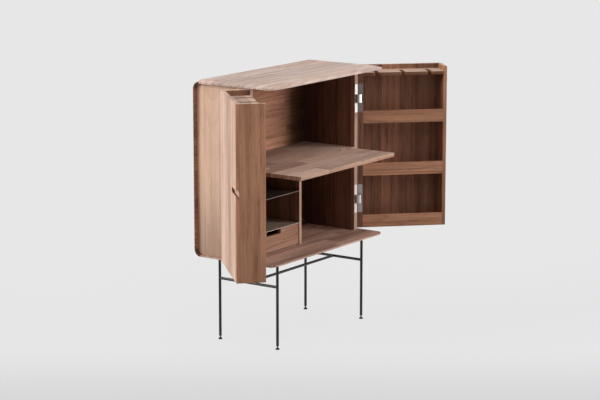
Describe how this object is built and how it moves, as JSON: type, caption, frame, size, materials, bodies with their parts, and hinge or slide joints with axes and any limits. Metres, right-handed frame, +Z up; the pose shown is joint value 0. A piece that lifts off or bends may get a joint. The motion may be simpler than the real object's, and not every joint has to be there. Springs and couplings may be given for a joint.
{
  "type": "bar cabinet with fold out shelf",
  "caption": "Walnut bar cabinet on thin black legs, with deep doors that hold bottles and stemware, a shelf that folds out to serve drinks, and a drawer.",
  "frame": {"origin": "on the floor, under the middle of the cabinet with its doors open", "axes": "+X to the right seen from the front, +Y to the back, +Z up"},
  "size_m": [1.8354, 0.6833, 1.3425],
  "materials": {
    "walnut": "satin oiled",
    "walnut_inner": "satin oiled",
    "black_steel": "satin black",
    "black_foot": "satin black",
    "grey_steel": "satin grey brown",
    "hinge_steel": "satin chrome",
    "bronze_hinge": "brown bronze",
    "screw_steel": "brushed"
  },
  "bodies": {
    "cabinet": {"top_panel": "walnut", "bottom_panel": "walnut", "back_panel": "walnut", "top_rear_corner": "walnut", "bottom_rear_corner": "walnut", "left_side_panel": "walnut", "right_side_panel": "walnut", "fixed_shelf": "walnut", "divider": "walnut", "upper_thin_shelf": "grey_steel", "lower_thin_shelf": "grey_steel", "drawer_runners": "walnut_inner", "cabinet_hinge_leaves": "hinge_steel", "cabinet_hinge_screws": "screw_steel", "flap_hinge_shelf_leaves": "bronze_hinge", "flap_hinge_pins": "bronze_hinge", "flap_hinge_shelf_screws": "bronze_hinge", "front_left_leg": "black_steel", "front_right_leg": "black_steel", "rear_left_leg": "black_steel", "rear_right_leg": "black_steel", "left_stretcher": "black_steel", "right_stretcher": "black_steel", "long_stretcher": "black_steel", "leg_plates": "black_steel", "leg_plate_screws": "screw_steel"},
    "left_door": {"left_door_outer_panel": "walnut", "left_door_hinge_wall": "walnut", "left_door_free_edge_wall": "walnut", "left_door_bottom_shelf": "walnut", "left_door_middle_shelf": "walnut", "left_door_upper_shelf": "walnut", "left_door_rails": "walnut", "left_door_glass_rack": "walnut", "left_door_hinge_leaves": "hinge_steel", "left_door_hinge_screws": "screw_steel"},
    "left_links": {"left_hinge_links": "hinge_steel"},
    "right_door": {"right_door_outer_panel": "walnut", "right_door_hinge_wall": "walnut", "right_door_free_edge_wall": "walnut", "right_door_bottom_shelf": "walnut", "right_door_middle_shelf": "walnut", "right_door_upper_shelf": "walnut", "right_door_rails": "walnut", "right_door_glass_rack": "walnut", "right_door_hinge_leaves": "hinge_steel", "right_door_hinge_screws": "screw_steel"},
    "right_links": {"right_hinge_links": "hinge_steel"},
    "flap": {"fold_out_shelf": "walnut", "flap_hinge_leaves": "bronze_hinge", "flap_hinge_screws": "bronze_hinge"},
    "drawer": {"drawer_front": "walnut", "drawer_sides": "walnut_inner", "drawer_back": "walnut_inner", "drawer_bottom": "walnut_inner"},
    "front_left_foot": {"front_left_foot": "black_foot"},
    "front_right_foot": {"front_right_foot": "black_foot"},
    "rear_left_foot": {"rear_left_foot": "black_foot"},
    "rear_right_foot": {"rear_right_foot": "black_foot"}
  },
  "joints": [
    {"name": "left_door_swing", "type": "hinge", "parent": "cabinet", "child": "left_door", "pos_m": [-0.48, -0.00103, 0.9], "axis": [0, 0, -1], "range_deg": [-134.5, 0]},
    {"name": "right_door_swing", "type": "hinge", "parent": "cabinet", "child": "right_door", "pos_m": [0.48, -0.00103, 0.9], "axis": [0, 0, 1], "range_deg": [-134.5, 0]},
    {"name": "left_link_swing", "type": "hinge", "parent": "cabinet", "child": "left_links", "pos_m": [-0.48, -0.00103, 0.9], "axis": [0, 0, -1], "range_deg": [-67.25, 0]},
    {"name": "right_link_swing", "type": "hinge", "parent": "cabinet", "child": "right_links", "pos_m": [0.48, -0.00103, 0.9], "axis": [0, 0, 1], "range_deg": [-67.25, 0]},
    {"name": "flap_fold", "type": "hinge", "parent": "cabinet", "child": "flap", "pos_m": [0, -0.00013, 0.9034], "axis": [1, 0, 0], "range_deg": [-180, 0]},
    {"name": "drawer_slide", "type": "slide", "parent": "cabinet", "child": "drawer", "axis": [0, -1, 0], "range_m": [0, 0.2]},
    {"name": "front_left_foot_level", "type": "slide", "parent": "cabinet", "child": "front_left_foot", "axis": [0, 0, -1], "range_m": [0, 0.012]},
    {"name": "front_right_foot_level", "type": "slide", "parent": "cabinet", "child": "front_right_foot", "axis": [0, 0, -1], "range_m": [0, 0.012]},
    {"name": "rear_left_foot_level", "type": "slide", "parent": "cabinet", "child": "rear_left_foot", "axis": [0, 0, -1], "range_m": [0, 0.012]},
    {"name": "rear_right_foot_level", "type": "slide", "parent": "cabinet", "child": "rear_right_foot", "axis": [0, 0, -1], "range_m": [0, 0.012]}
  ],
  "couplings": [
    {"joint": "right_door_swing", "follows": "left_door_swing", "ratio": 1},
    {"joint": "left_link_swing", "follows": "left_door_swing", "ratio": 0.5},
    {"joint": "right_link_swing", "follows": "left_door_swing", "ratio": 0.5},
    {"joint": "flap_fold", "follows": "left_door_swing", "ratio": 1.3383}
  ]
}
